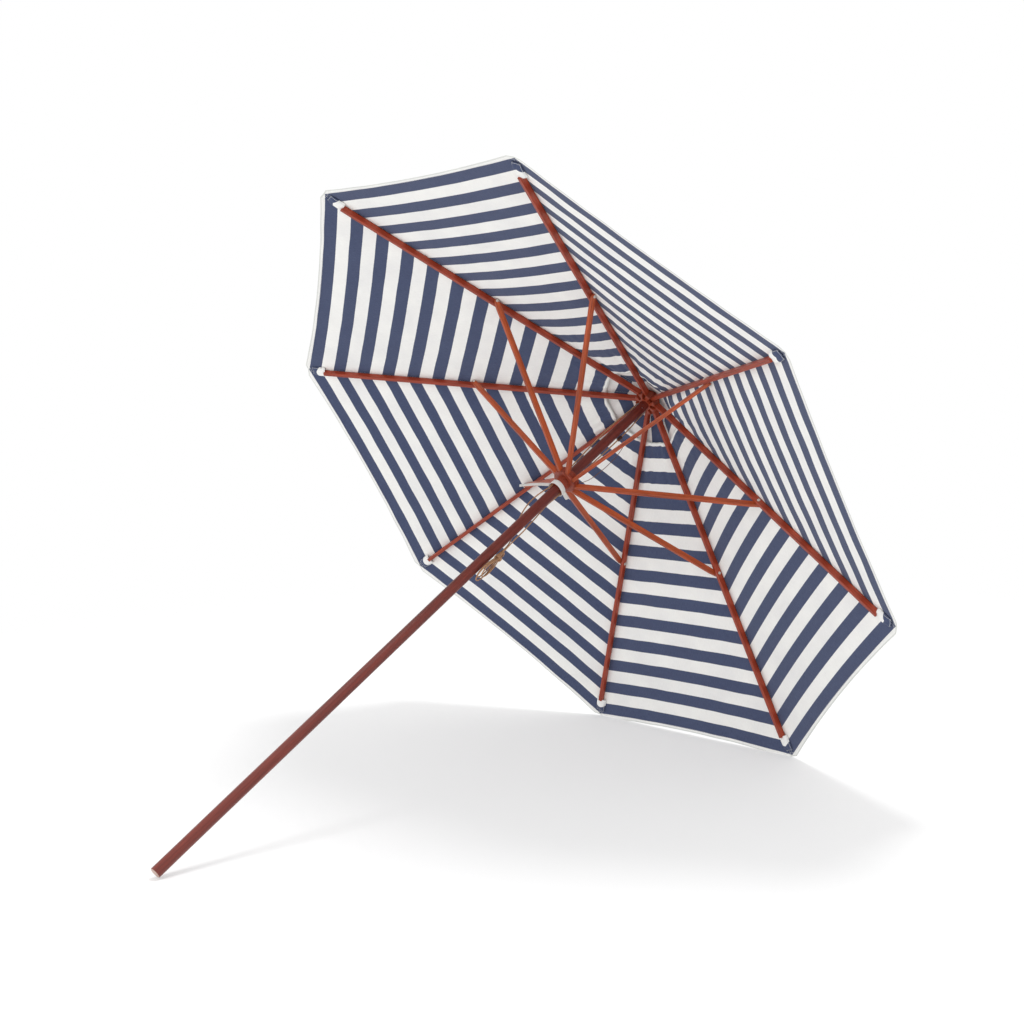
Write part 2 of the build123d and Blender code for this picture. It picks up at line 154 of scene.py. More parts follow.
# ---- meshes ----
def add_mesh(name, verts, faces, mat, uvs=None):
    """A smooth mesh object; uvs maps a layer's name to one pair per vertex."""
    mesh = bpy.data.meshes.new(name)
    mesh.from_pydata([tuple(v) for v in verts], [], [tuple(f) for f in faces])
    corner_vertex = np.zeros(len(mesh.loops), dtype=np.int32)
    mesh.loops.foreach_get("vertex_index", corner_vertex)
    for layer, values in (uvs or {}).items():
        values = np.asarray(values, dtype=np.float32)
        mesh.uv_layers.new(name=layer).data.foreach_set("uv", values[corner_vertex].ravel())
    mesh.polygons.foreach_set("use_smooth", [True] * len(mesh.polygons))
    mesh.update()
    mesh.materials.append(mat)
    obj = bpy.data.objects.new(name, mesh)
    bpy.context.scene.collection.objects.link(obj)
    return obj


def grid_faces(rows, columns, ring=False):
    """Quads over rows of vertices. In a ring the last column joins the first."""
    faces = []
    for i in range(rows - 1):
        for j in range(columns if ring else columns - 1):
            p, q = i * columns + j, i * columns + (j + 1) % columns
            faces.append((p, q, q + columns, p + columns))
    return faces


def turned_over(face):
    """The same face seen from its other side, from the same first vertex."""
    return (face[0], *face[:0:-1])


def moved(face, count):
    return tuple(vertex + count for vertex in face)


def border_edges(rows, columns):
    """The edges round a grid of vertices, one after the other."""
    last = (rows - 1) * columns
    border = [i * columns for i in range(rows)] + [last + j for j in range(1, columns)]
    border += [i * columns + columns - 1 for i in range(rows - 2, -1, -1)]
    border += list(range(columns - 2, 0, -1))
    return list(zip(border, border[1:] + border[:1]))


def distances(line):
    """Length along a line from its start to each point."""
    return np.concatenate([[0.0], np.cumsum(np.linalg.norm(np.diff(line, axis=0), axis=1))])


def tangents(line):
    ahead = np.gradient(line, axis=0)
    return ahead / np.linalg.norm(ahead, axis=1)[:, None]


def rib_angle(number):
    return 2 * HALF * (number - 1)


def middle_of(light, dark):
    return tuple((a + b) / 2 for a, b in zip(light, dark))


# ---- material nodes ----
class Paint:
    """A new node material, with short ways to add nodes and to fill their inputs."""

    def __init__(self, name):
        self.material = bpy.data.materials.new(name)
        self.material.use_nodes = True
        self.tree = self.material.node_tree
        self.shader = self.tree.nodes["Principled BSDF"]

    def fill(self, node, inputs):
        """Link each input to a socket, or set it where a value is given."""
        for socket, value in inputs.items():
            if isinstance(value, bpy.types.NodeSocket):
                self.tree.links.new(value, node.inputs[socket])
            else:
                node.inputs[socket].default_value = value

    def shade(self, inputs):
        self.fill(self.shader, inputs)

    def node(self, kind, inputs=None, **settings):
        made = self.tree.nodes.new(kind)
        for key, value in settings.items():
            setattr(made, key, value)
        self.fill(made, inputs or {})
        return made

    def place(self):
        return self.node("ShaderNodeTexCoord").outputs["Object"]

    def layer(self, name):
        """The two coordinates of a UV layer, together and apart."""
        both = self.node("ShaderNodeUVMap", uv_map=name).outputs[0]
        parts = self.node("ShaderNodeSeparateXYZ", {0: both}).outputs
        return both, parts[0], parts[1]

    def maths(self, operation, a, b=0.0, c=0.0):
        return self.node("ShaderNodeMath", {0: a, 1: b, 2: c}, operation=operation).outputs[0]

    def zigzag(self, value):
        """Distance from the nearest half: down and up again within each whole number."""
        return self.maths("ABSOLUTE", self.maths("SUBTRACT", self.maths("FRACT", value), 0.5))

    def noise(self, vector, scale, detail, roughness=0.5, distortion=0.0):
        inputs = {"Vector": vector, "Scale": scale, "Detail": detail, "Roughness": roughness,
                  "Distortion": distortion}
        return self.node("ShaderNodeTexNoise", inputs).outputs[0]

    def stretched(self, vector, scale):
        return self.node("ShaderNodeMapping", {"Vector": vector, "Scale": scale}).outputs[0]

    def remapped(self, value, low, high, at_low, at_high):
        inputs = {0: value, 1: low, 2: high, 3: at_low, 4: at_high}
        return self.node("ShaderNodeMapRange", inputs).outputs[0]

    def mixed(self, factor, a, b, blend="MIX"):
        inputs = {0: factor, 6: a, 7: b}
        return self.node("ShaderNodeMix", inputs, data_type="RGBA", blend_type=blend).outputs[2]

    def ramp(self, factor, stops):
        made = self.node("ShaderNodeValToRGB", {0: factor})
        elements = made.color_ramp.elements
        while len(elements) < len(stops):
            elements.new(0.5)
        for element, (place, colour) in zip(elements, stops):
            element.position = place
            element.color = (*colour, 1.0)
        return made.outputs[0]

    def bump(self, height, strength, depth):
        inputs = {"Height": height, "Strength": strength, "Distance": depth}
        self.shade({"Normal": self.node("ShaderNodeBump", inputs).outputs[0]})


# ---- wood ----
def sawn_foot(paint, colour):
    """Paler bare wood with rings on the sawn foot of the pole, mixed over its colour."""
    place = paint.place()
    height = paint.node("ShaderNodeSeparateXYZ", {0: place}).outputs[2]
    foot = paint.remapped(height, 0.0001, 0.0012, 1.0, 0.0)
    heart = paint.node("ShaderNodeMapping", {"Vector": place, "Location": (0.022, 0.013, 0.0)})
    rings = paint.node("ShaderNodeTexWave", {0: heart.outputs[0], "Scale": 120.0, "Distortion": 3.0,
                                             "Detail": 2.0},
                       wave_type="RINGS", rings_direction="Z").outputs[0]
    return paint.mixed(foot, colour, paint.ramp(rings, list(zip((0.0, 1.0), SAWN_SHADES))))


def wood(name, shades, axes, roughness, coat, sawn=False):
    """Varnished hardwood whose grain runs along the first of the three axes."""
    light, dark = shades
    paint = Paint(name)
    rows = Matrix([Vector(a).normalized() for a in axes])
    along = paint.node("ShaderNodeMapping", {"Vector": paint.place(),
                                             "Rotation": rows.to_euler("XYZ")}).outputs[0]
    bands = paint.noise(paint.stretched(along, (1.6, 42.0, 42.0)), 2.2, 5.0, 0.62, 0.7)
    pores = paint.noise(paint.stretched(along, (14.0, 420.0, 420.0)), 2.0, 3.0, 0.6)
    patches = paint.noise(along, 3.1, 2.0)
    colour = paint.ramp(bands, [(0.30, dark), (0.50, middle_of(light, dark)), (0.72, light)])
    pore_mask = paint.ramp(pores, [(0.36, (0.45, 0.40, 0.38)), (0.52, (1.0, 1.0, 1.0))])
    colour = paint.mixed(0.75, colour, pore_mask, "MULTIPLY")
    tone = paint.ramp(patches, [(0.30, (0.80, 0.76, 0.74)), (0.70, (1.12, 1.10, 1.06))])
    colour = paint.mixed(0.8, colour, tone, "MULTIPLY")
    # painted highlight: sharp convex edges are lightened towards a brighter copy of the light wood colour
    edges = paint.node("ShaderNodeNewGeometry").outputs["Pointiness"]
    edge_highlight = paint.ramp(edges, [(0.52, (0.0, 0.0, 0.0)), (0.60, (1.0, 1.0, 1.0))])
    highlight_colour = tuple(min(1.0, c * 1.45) for c in light)
    colour = paint.mixed(paint.maths("MULTIPLY", edge_highlight, 0.30), colour, (*highlight_colour, 1.0))
    if sawn:
        colour = sawn_foot(paint, colour)
    height = paint.maths("ADD", paint.maths("MULTIPLY", pores, 0.6), paint.maths("MULTIPLY", bands, 0.4))
    paint.bump(height, 0.35, 0.0006)
    paint.shade({"Base Color": colour,
                 "Roughness": paint.remapped(pores, 0.3, 0.7, roughness + 0.10, roughness - 0.06),
                 "Specular IOR Level": 0.35, "Coat Weight": coat, "Coat Roughness": 0.25})
    return paint.material


def bar_axes(number, pitch):
    """Axes of a bar that leaves the pole at a rib's azimuth, pitched up from level."""
    angle = rib_angle(number)
    out = Vector((math.cos(angle), math.sin(angle), 0))
    along = out * math.cos(pitch) + Vector((0, 0, math.sin(pitch)))
    across = Vector((-math.sin(angle), math.cos(angle), 0))
    return [along, across, along.cross(across)]


UPRIGHT = [(0, 0, 1), (1, 0, 0), (0, 1, 0)]
LEVEL = [(1, 0, 0), (0, 1, 0), (0, 0, 1)]
POLE_WOOD = wood("pole_wood", POLE_SHADES, UPRIGHT, 0.36, 0.22, sawn=True)
HUB_WOOD = wood("hub_wood", HUB_SHADES, LEVEL, 0.42, 0.12)
FINIAL_WOOD = wood("finial_wood", FINIAL_SHADES, UPRIGHT, 0.36, 0.25)
STOP_WOOD = wood("stop_wood", STOP_SHADES, UPRIGHT, 0.40, 0.20)


# ---- metal ----
def metal(name, colour, roughness, grit):
    """Slightly spotted bare metal."""
    paint = Paint(name)
    spots = paint.noise(paint.place(), grit, 4.0)
    dark = tuple(c * 0.72 for c in colour)
    paint.bump(spots, 0.25, 0.0003)
    paint.shade({"Base Color": paint.ramp(spots, [(0.35, dark), (0.65, colour)]),
                 "Roughness": paint.remapped(spots, 0.3, 0.7, roughness + 0.12, roughness - 0.06),
                 "Metallic": 0.92})
    return paint.material


STEEL = metal("steel", STEEL_COLOUR, 0.34, 600.0)
SHEAVE_METAL = metal("sheave_metal", SHEAVE_COLOUR, 0.45, 900.0)


# ---- cloth ----
def fabric(name, striped=True, radial=False):
    """Woven cloth: navy and off-white stripes, a plain weave, seams and stitches.

    The layer Cloth holds metres out along the gore and across it. The layer Edge holds
    the distance from the rib seam and from the nearest hem.
    """
    paint = Paint(name)
    maths = paint.maths
    cloth, outward, across = paint.layer("Cloth")
    _, seam, hem = paint.layer("Edge")
    slubs = paint.noise(paint.stretched(cloth, (60.0, 900.0, 1.0)), 1.0, 3.0)
    colour = paint.ramp(slubs, list(zip((0.30, 0.70), WHITE_SHADES)))
    if striped:
        ripple = paint.noise(cloth, 90.0, 2.0)
        along = maths("ADD", across if radial else outward, maths("MULTIPLY_ADD", ripple, 0.0010, -0.0005))
        phase = maths("MULTIPLY_ADD", along, 1 / STRIPE_PITCH, 0.5 - STRIPE_START / STRIPE_PITCH)
        band = paint.remapped(paint.zigzag(phase), STRIPE_SHARE / 2 - STRIPE_SOFT,
                              STRIPE_SHARE / 2 + STRIPE_SOFT, 1.0, 0.0)
        navy = paint.ramp(slubs, list(zip((0.30, 0.70), NAVY_SHADES)))
        inside = maths("GREATER_THAN", hem, HEM_TAPE)
        colour = paint.mixed(inside, TAPE_COLOUR, paint.mixed(band, colour, navy))
    cloudy = paint.noise(cloth, 7.0, 3.0)
    tone = paint.ramp(cloudy, [(0.30, (0.94, 0.94, 0.95)), (0.70, (1.03, 1.03, 1.02))])
    colour = paint.mixed(1.0, colour, tone, "MULTIPLY")

    def dashes(distance):
        return maths("LESS_THAN", maths("FRACT", maths("MULTIPLY", distance, 1 / STITCH)), STITCH_SHARE)

    def line(distance, place, width):
        return maths("LESS_THAN", maths("ABSOLUTE", maths("SUBTRACT", distance, place)), width)

    hem_row = maths("MULTIPLY", line(hem, HEM_STITCH, STITCH_HALF), dashes(across))
    seam_row = maths("MULTIPLY", line(seam, SEAM_STITCH, STITCH_HALF), dashes(outward))
    stitches = maths("MAXIMUM", hem_row, seam_row)
    colour = paint.mixed(maths("MULTIPLY", stitches, 0.7), colour, THREAD_COLOUR)
    warp, weft = (maths("SINE", maths("MULTIPLY", distance, 2 * math.pi / pitch))
                  for distance, pitch in zip((outward, across), THREAD))
    crease = maths("MAXIMUM", line(hem, 0.0160, 0.0005), line(seam, 0.0015, 0.0008))
    height = maths("MULTIPLY_ADD", maths("MULTIPLY", warp, weft), 0.12, 0.5)
    height = maths("ADD", height, maths("MULTIPLY", slubs, 0.25))
    height = maths("SUBTRACT", height, maths("MULTIPLY", stitches, 0.9))
    height = maths("SUBTRACT", height, maths("MULTIPLY", crease, 0.8))
    paint.bump(height, 0.5, 0.0006)
    paint.shade({"Base Color": colour, "Roughness": 0.86, "Specular IOR Level": 0.25,
                 "Sheen Weight": 0.12, "Sheen Roughness": 0.5})
    return paint.material


CANOPY = fabric("canopy_fabric")
CAP_RADIAL = fabric("canopy_fabric_radial", radial=True)
LINING = fabric("pocket_fabric", striped=False)


# ---- cord ----
def cord_material(name, shades, pitch):
    """Twisted or braided cord. The layer Lay holds turns round it and metres along it."""
    light, dark = shades
    paint = Paint(name)
    _, turns, run = paint.layer("Lay")
    twist = paint.maths("ADD", paint.maths("MULTIPLY", turns, 6.0), paint.maths("MULTIPLY", run, 1 / pitch))
    yarn = paint.zigzag(twist)
    fuzz = paint.noise(paint.place(), 900.0, 4.0)
    shade = paint.maths("ADD", paint.maths("MULTIPLY", yarn, 1.1), paint.maths("MULTIPLY", fuzz, 0.5))
    colour = paint.ramp(shade, [(0.15, dark), (0.45, middle_of(light, dark)), (0.80, light)])
    paint.bump(shade, 0.6, 0.0008)
    paint.shade({"Base Color": colour, "Roughness": 0.80, "Sheen Weight": 0.15})
    return paint.material


CORD_MATERIAL = cord_material("cord", CORD_SHADES, 0.008)
LANYARD_MATERIAL = cord_material("lanyard_cord", LANYARD_SHADES, 0.004)
STRANDS = 3
ROPE_SIDES = 15
ROPE_STEP = 0.28              # length of one ring of faces, in diameters
ROPE_LAY = 4.2                # length of one turn of the strands, in diameters
ROPE_CORE, ROPE_SWELL = 0.86, 0.14   # radius between two strands and what a strand adds
ROPE_TIP = 0.2                # how far an end is domed, in diameters


def centre_line(points):
    """The smooth line that follows a route, read from its NURBS spline."""
    data = bpy.data.curves.new("route", "CURVE")
    data.dimensions = "3D"
    data.resolution_u = 24
    spline = data.splines.new("NURBS")
    spline.points.add(len(points) - 1)
    for place, point in zip(spline.points, points):
        place.co = (*point, 1.0)
    spline.order_u = 3
    spline.use_endpoint_u = True
    obj = bpy.data.objects.new("route", data)
    bpy.context.scene.collection.objects.link(obj)
    mesh = bpy.data.meshes.new_from_object(obj)
    line = np.array([v.co for v in mesh.vertices], float)
    bpy.data.objects.remove(obj)
    bpy.data.curves.remove(data)
    bpy.data.meshes.remove(mesh)
    return line


def evenly(line, step):
    """The line in equal steps, and the length from its start to each point."""
    lengths = distances(line)
    count = max(8, int(round(lengths[-1] / step)))
    marks = np.linspace(0.0, lengths[-1], count + 1)
    return np.stack([np.interp(marks, lengths, line[:, i]) for i in range(3)], axis=1), marks


def rope(name, points, diameter, mat):
    """A laid rope: a tube with twisted strands along the smooth line of its route."""
    line, marks = evenly(centre_line(points), diameter * ROPE_STEP)
    ahead = tangents(line)
    side = np.cross(ahead[0], (0.3, 0.5, 0.8))
    side /= np.linalg.norm(side)
    lay = diameter * ROPE_LAY
    verts, lays = [], []
    for place, tangent, mark in zip(line, ahead, marks):
        side = side - tangent * side.dot(tangent)
        side /= np.linalg.norm(side)
        other = np.cross(tangent, side)
        for i in range(ROPE_SIDES):
            angle = 2 * math.pi * i / ROPE_SIDES
            swell = abs(math.sin(STRANDS / 2 * (angle - 2 * math.pi * mark / lay)))
            reach = diameter / 2 * (ROPE_CORE + ROPE_SWELL * swell ** 0.7)
            verts.append(place + reach * (math.cos(angle) * side + math.sin(angle) * other))
            lays.append((i / ROPE_SIDES, mark))
    faces = grid_faces(len(line), ROPE_SIDES, ring=True)
    for ring, way in ((0, -1), (len(line) - 1, 1)):
        verts.append(line[ring] + way * ahead[ring] * diameter * ROPE_TIP)
        lays.append((0.0, marks[ring]))
        for i in range(ROPE_SIDES):
            face = (len(verts) - 1, ring * ROPE_SIDES + (i + 1) % ROPE_SIDES, ring * ROPE_SIDES + i)
            faces.append(face[::-way])
    return add_mesh(name, verts, faces, mat, {"Lay": lays}), line, float(marks[-1])


def held_cord(name, points, node, body):
    """A length of the lift cord that is held at both ends."""
    obj, _, _ = rope(name, points, CORD, CORD_MATERIAL)
    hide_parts(node)
    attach(obj, body)


def free_cord(name, points, diameter, mat, nodes):
    """A cord that hangs from the runner, built along its own centre line."""
    obj, line, length = rope(name, points, diameter, mat)
    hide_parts(*nodes)
    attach(obj, "runner")


def from_millimetres(route, base, way):
    """A route in metres, with its heights counted up (1) or down (-1) from a base."""
    return [(x / 1000, y / 1000, base + way * z / 1000) for x, y, z in route]


FALLS = [(CORD_X, 0, RUNNER_TOP), (CORD_X, 0, RUNNER_TOP + 0.040), (0.028, -0.002, 2.235),
         (0.030, -0.001, 2.385), (CORD_X, 0, 2.475), (CORD_X, 0, 2.505), (CORD_X, 0, 2.522),
         (0.0175, 0, 2.5285), (0.009, 0, 2.5315), (0.0, 0, 2.5325), (-0.009, 0, 2.5315),
         (-0.0175, 0, 2.5285), (-CORD_X, 0, 2.522), (-CORD_X, 0, 2.505), (-CORD_X, 0, 2.475),
         (-STAND_OFF, 0.003, 2.410), (-STAND_OFF, 0.001, 2.285), (-CORD_X, 0, RUNNER_TOP + 0.040),
         (-CORD_X, 0, RUNNER_TOP)]
LIFT_END = [(22, 0, 0), (22, 0, 23.5), (29, -3, 53.5), (33, -5, 91.5), (32, -8, 129.5),
            (24, -17, 163.5), (10, -25, 197.5), (-6, -27, 233.5), (-20, -21, 268.5),
            (-28, -11, 303.5), (-28, -4, 337.5), (-24, 1, 371.5)]
HAULING_END = [(-22, 0, 0), (-22, 0, 27.5), (-20, -13, 63.5), (-22, -12, 105.5), (-25, -5, 147.5),
               (-24, 7, 189.5), (-28, 8, 233.5), (-26, 12, 280.5), (-29, 13, 326.5)]
LANYARD = [(-36.2, 4, 288.5), (-47, 7, 284.5), (-60, 11, 265.5), (-67, 14, 216.5), (-69, 15, 160.5),
           (-66, 15, 108.5), (-62, 13, 60.5), (-51, 8, 24.5), (-37, 0, 1.55)]
KNOT = (-0.0285, 0.0125, 1.630)   # where the hauling end goes over into the hank


def hank_points():
    """Three hanging loops, two small ears above them, and the wraps that tie them."""
    points = []
    loop = [(3.2, 1600), (5, 1591), (12, 1577), (18, 1556), (19.5, 1535), (17, 1515), (10, 1500),
            (0, 1495), (-10, 1500), (-17, 1515), (-19.5, 1535), (-18, 1556), (-12, 1577),
            (-5, 1591), (-3.2, 1600)]
    ear = [(-3.4, 1610), (-8.5, 1618), (-9, 1627), (-3, 1633), (4, 1632), (9, 1625), (8, 1616),
           (3.4, 1609)]
    loops = [(LOOP_STEP, 2, 0.86), (0.0, 16, 1.08), (-LOOP_STEP, -10, 0.96)]
    for number, (shift, drop, wide) in enumerate(loops):
        for y, z in loop:
            points.append((shift, y * (wide if z < LOOP_THROAT else 1.0),
                           z - drop * (LOOP_TOP - z) / LOOP_HIGH))
        if number < 2:
            for i, (y, z) in enumerate(ear):
                points.append((shift - LOOP_STEP * (i + 0.5) / len(ear), y, z + 2 * number))
    points += [(-5.8, -3.6, 1609), (-7.5, -8.5, 1613.5)]
    for i in range(WRAP_POINTS):
        angle = WRAP_START + 2 * math.pi * i / WRAP_TURN
        points.append((WRAP_R * math.cos(angle), WRAP_R * math.sin(angle),
                       WRAP_Z - LOOP_STEP * i / WRAP_TURN))
    for further, reach, z in ((0.0, 13, 1596), (0.5, 14, 1588), (0.8, 15, 1577)):
        points.append((reach * math.cos(angle + further), reach * math.sin(angle + further), z))
    c, s = math.cos(HANK_TURN), math.sin(HANK_TURN)
    return [((HANK_X + x * c + y * s) / 1000, (HANK_Y - x * s + y * c) / 1000, z / 1000)
            for x, y, z in points]


held_cord("lift_cord_falls", FALLS, "halyard_falls", "pole")
for letter, x in (("a", CORD_X), ("b", -CORD_X)):
    channel = [(x, 0, RUNNER_TOP), (x, 0, (RUNNER_TOP + NECK_FOOT) / 2), (x, 0, NECK_FOOT)]
    held_cord(f"lift_cord_in_runner_{letter}", channel, "halyard_in_runner", "runner")
free_cord("lift_end", from_millimetres(LIFT_END, NECK_FOOT, -1), CORD, CORD_MATERIAL,
          ["halyard_lift_end"])
free_cord("hauling_end", from_millimetres(HAULING_END, NECK_FOOT, -1) + [KNOT] + hank_points(), CORD,
          CORD_MATERIAL, ["halyard_hauling_end", "halyard_hank"])
free_cord("lanyard_cord", from_millimetres(LANYARD, RUNNER_TOP, 1), THIN_CORD, LANYARD_MATERIAL,
          ["lanyard"])


# ---- canopy and vent cap ----
def ridge_height(radius, lift):
    """Height over a rib's centre line at a radius, lifted square to the rib."""
    return PIVOT_Z - (radius - PIVOT_R) * math.tan(SLOPE) + lift / math.cos(SLOPE)


def smooth_step(value, low, high):
    t = np.clip((value - low) / (high - low), 0.0, 1.0)
    return t * t * (3 - 2 * t)


def placed(points, number, hand):
    """Points drawn beside rib 1, on its left, moved to a rib and a hand."""
    points = np.array(points, float)
    points[:, 1] *= hand
    angle = rib_angle(number)
    c, s = math.cos(angle), math.sin(angle)
    x, y, z = points.T
    return np.stack([x * c - y * s, x * s + y * c, z], axis=1)


def folds(gore, hand):
    """The wrinkles of one half gore, still at its middle and on its rib."""
    seed = np.random.default_rng(40 + gore * 2 + (hand > 0))
    waves = []
    for _ in range(7):
        waves.append((seed.uniform(0.030, 0.075), seed.uniform(-0.9, 0.9),
                      seed.uniform(0, 2 * math.pi), seed.uniform(0.5, 1.0)))
    slow = seed.uniform(0, 2 * math.pi, 4)

    def height(d, a, u):
        near = np.exp(-np.clip(d - NEAR_VENT, 0, None) / NEAR_VENT)
        small = sum(size * np.sin(2 * math.pi * (a + lean * (d - NEAR_VENT)) / pitch + start)
                    for pitch, lean, start, size in waves) / 2.5
        large = np.sin(2 * math.pi * d / 0.33 + slow[0]) * np.sin(2 * math.pi * a / 0.27 + slow[1])
        large += 0.7 * np.sin(2 * math.pi * d / 0.17 + slow[2]) * np.sin(2 * math.pi * a / 0.15 + slow[3])
        still = smooth_step(u, 0.02, 0.30) * (1 - smooth_step(u, 0.80, 0.99))
        return still * (WRINKLE * near * small + SLOW_WRINKLE * large)

    return height


def sheet_rows(outer, inner, hem_rows, inner_rows, step):
    """Distances out for each column: rows close together at both hems, even ones between."""
    count = int(round((np.mean(outer) - hem_rows[-1] - inner - inner_rows[-1]) / step))
    rows = [inner + 0 * outer + off for off in inner_rows]
    start, end = inner + inner_rows[-1], outer - hem_rows[-1]
    for i in range(1, count):
        rows.append(start + (end - start) * i / count)
    rows += [outer - off for off in reversed(hem_rows)]
    return np.array(rows)


def half_sheet(name, number, hand, shape, mat, wrinkles=None, shift=0.0):
    """A closed thin sheet over one half gore, thicker along its hems, and its area.

    u runs from 0 in the middle of the gore to 1 on the rib; rows are distances out along
    the middle of the gore, and a is the distance across it.
    """
    rows = shape["rows"]
    u = np.array(shape["columns"])[None, :] + 0 * rows
    a = rows * math.tan(HALF) * u
    z = shape["height"](rows, a, u)
    if wrinkles:
        z = z + wrinkles(rows, a, u)
    x = rows * math.cos(HALF) + a * math.sin(HALF)
    y = rows * math.sin(HALF) - a * math.cos(HALF)
    hem = np.minimum(shape["outer"][None, :] - rows, rows - shape["inner"])
    seam = (rows * math.tan(HALF) - a) * math.cos(HALF)
    bulge = 0.5 * (1 - smooth_step(hem, *HEM_FOLD))
    edge_round = 1 - smooth_step(hem, 0.0, HEM_ROUND)
    low = z - HEM_BULGE[0] * bulge + HEM_TAPER[0] * edge_round
    high = z + CLOTH + HEM_BULGE[1] * bulge - HEM_TAPER[1] * edge_round
    flat = [np.stack([x, y, level], axis=-1).reshape(-1, 3) for level in (low, high)]
    verts = placed(np.concatenate(flat), number, hand)
    bow = (STRIPE_BOW + HEM_BOW * (rows / HEM) ** 4) * (1 - u ** 2)
    cloth = np.stack([rows + bow + shift, a], axis=-1).reshape(-1, 2)
    edge = np.stack([seam, hem], axis=-1).reshape(-1, 2)
    count = rows.size
    quads = grid_faces(*rows.shape)
    edges = border_edges(*rows.shape)
    faces = []
    for quad in quads:
        faces += [quad, moved(quad[::-1], count)]
    faces += [(p + count, q + count, q, p) for p, q in edges]
    if hand < 0:
        faces = [face[::-1] for face in faces]
    obj = add_mesh(name, verts, faces, mat, {"Cloth": np.concatenate([cloth] * 2),
                                             "Edge": np.concatenate([edge] * 2)})
    sharp = {tuple(sorted(pair)) for p, q in edges for pair in ((p, q), (p + count, q + count))}
    for mesh_edge in obj.data.edges:
        if tuple(sorted(mesh_edge.vertices)) in sharp:
            mesh_edge.use_edge_sharp = True
    area = 0.0
    for quad in quads:
        corners = [Vector(verts[k]) for k in quad]
        area += ((corners[2] - corners[0]).cross(corners[3] - corners[1])).length / 2
    return obj, area


def declare_sheet(obj, node, number):
    """A half gore rides its rib."""
    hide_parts(node)
    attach(obj, f"rib_{number}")
    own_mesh(obj)


CUT_ACROSS = HEM * math.tan(HALF) - CORNER_CUT / 2 / math.cos(HALF)   # where a hem meets the cut
CUT_COLUMN = CUT_ACROSS / (HEM * math.tan(HALF))
CUT_TIP = (CORNER_R * math.cos(HALF), CORNER_R * math.cos(HALF) * math.tan(HALF))


def canopy_edge(u):
    """Distance of the hem or of the cut corner along one column."""
    if u <= CUT_COLUMN:
        d = HEM
        for _ in range(4):
            a = u * d * math.tan(HALF)
            d = HEM - HEM_HOLLOW * (1 - (a / CUT_ACROSS) ** 2)
        return d
    run_out = CUT_TIP[0] - HEM
    run_across = CUT_TIP[1] - CUT_ACROSS
    t = (u * math.tan(HALF) * HEM - CUT_ACROSS) / (run_across - u * math.tan(HALF) * run_out)
    return HEM + t * run_out


def canopy_height(d, a, u):
    sag = SAG * (1 - np.clip(d / HEM, 0, 1) ** 2)
    return ridge_height(d / math.cos(HALF), RIDGE) - sag * (1 - u ** 2)


cap_corner_z = ridge_height(CAP_R, RIDGE) + CAP_LIFT
CAP_PITCH = (SEAT_Z - CAP_REST - cap_corner_z) / (CAP_R - EYE_R)


def cap_height(d, a, u):
    radius = d / math.cos(HALF)
    return SEAT_Z - CAP_REST - (radius - EYE_R) * CAP_PITCH - CAP_SAG * (d / CAP_HEM) * (1 - u ** 2)


hem_rows = [0.0, HEM_ROUND / 2, HEM_ROUND, 0.008, *HEM_FOLD]
canopy_columns = [i / 20 for i in range(19)] + [0.92, CUT_COLUMN, 0.957, 0.968, 0.978, 0.985, 0.991,
                                                0.996, 1.0]
canopy_outer = np.array([canopy_edge(u) for u in canopy_columns])
vent = VENT_R * math.cos(HALF)
canopy = {"columns": canopy_columns, "outer": canopy_outer, "inner": vent, "height": canopy_height,
          "rows": sheet_rows(canopy_outer, vent, hem_rows + [0.024, 0.034], hem_rows, 0.013)}
cap_columns = [i / 10 for i in range(10)] + [0.95, 0.98, 1.0]
cap_outer = np.array([CAP_R * math.cos(HALF) - CAP_HOLLOW * (1 - u ** 2) for u in cap_columns])
cap = {"columns": cap_columns, "outer": cap_outer, "inner": CAP_INNER, "height": cap_height,
       "rows": sheet_rows(cap_outer, CAP_INNER, hem_rows, [0.0, 0.004], 0.010)}
for number in range(1, RIBS + 1):
    for hand, word in ((1, "left"), (-1, "right")):
        gore = number if hand > 0 else (number - 2) % RIBS + 1
        obj, area = half_sheet(f"canopy_{number}_{word}", number, hand, canopy, CANOPY, folds(gore, hand))
        declare_sheet(obj, f"canopy_{number}", number)
        cap_fabric = CAP_RADIAL if gore == RADIAL_GORE else CANOPY
        obj, area = half_sheet(f"vent_cap_{number}_{word}", number, hand, cap, cap_fabric, shift=CAP_SHIFT)
        declare_sheet(obj, f"vent_cap_{number}", number)


def cap_patch():
    """Octagonal reinforcing patch at the eye of the vent cap, under the finial."""
    spokes = 64
    rings = [EYE_R, 0.030, 0.045, 0.060, 0.074, 0.0805, PATCH_R]
    verts, cloth, edge = [], [], []
    for level in (0, 1):
        for radius in rings:
            for i in range(spokes):
                angle = 2 * math.pi * i / spokes
                off_rib = abs((angle + HALF) % (2 * HALF) - HALF)
                straight = math.cos(HALF) / math.cos(HALF - off_rib)
                blend = (radius - EYE_R) / (PATCH_R - EYE_R)
                r = radius * (1 + (straight - 1) * blend)
                d = r * math.cos(HALF - off_rib)
                u = np.array(min(1.0, math.tan(HALF - off_rib) / math.tan(HALF)))
                z = float(cap_height(np.array(d), 0, u)) + CLOTH + 0.0006 + 0.0009 * level
                verts.append((r * math.cos(angle), r * math.sin(angle), z))
                cloth.append((d, r * math.sin(HALF - off_rib)))
                edge.append((0.03, PATCH_R - radius))
    count = len(rings) * spokes
    faces = []
    for quad in grid_faces(len(rings), spokes, ring=True):
        faces += [quad, moved(turned_over(quad), count)]
    last = count - spokes
    for j in range(spokes):
        n = (j + 1) % spokes
        faces.append((j, j + count, n + count, n))
        faces.append((last + j, last + n, last + n + count, last + j + count))
    return add_mesh("cap_patch", verts, faces, LINING, {"Cloth": cloth, "Edge": edge})


patch = cap_patch()
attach(patch, "pole")

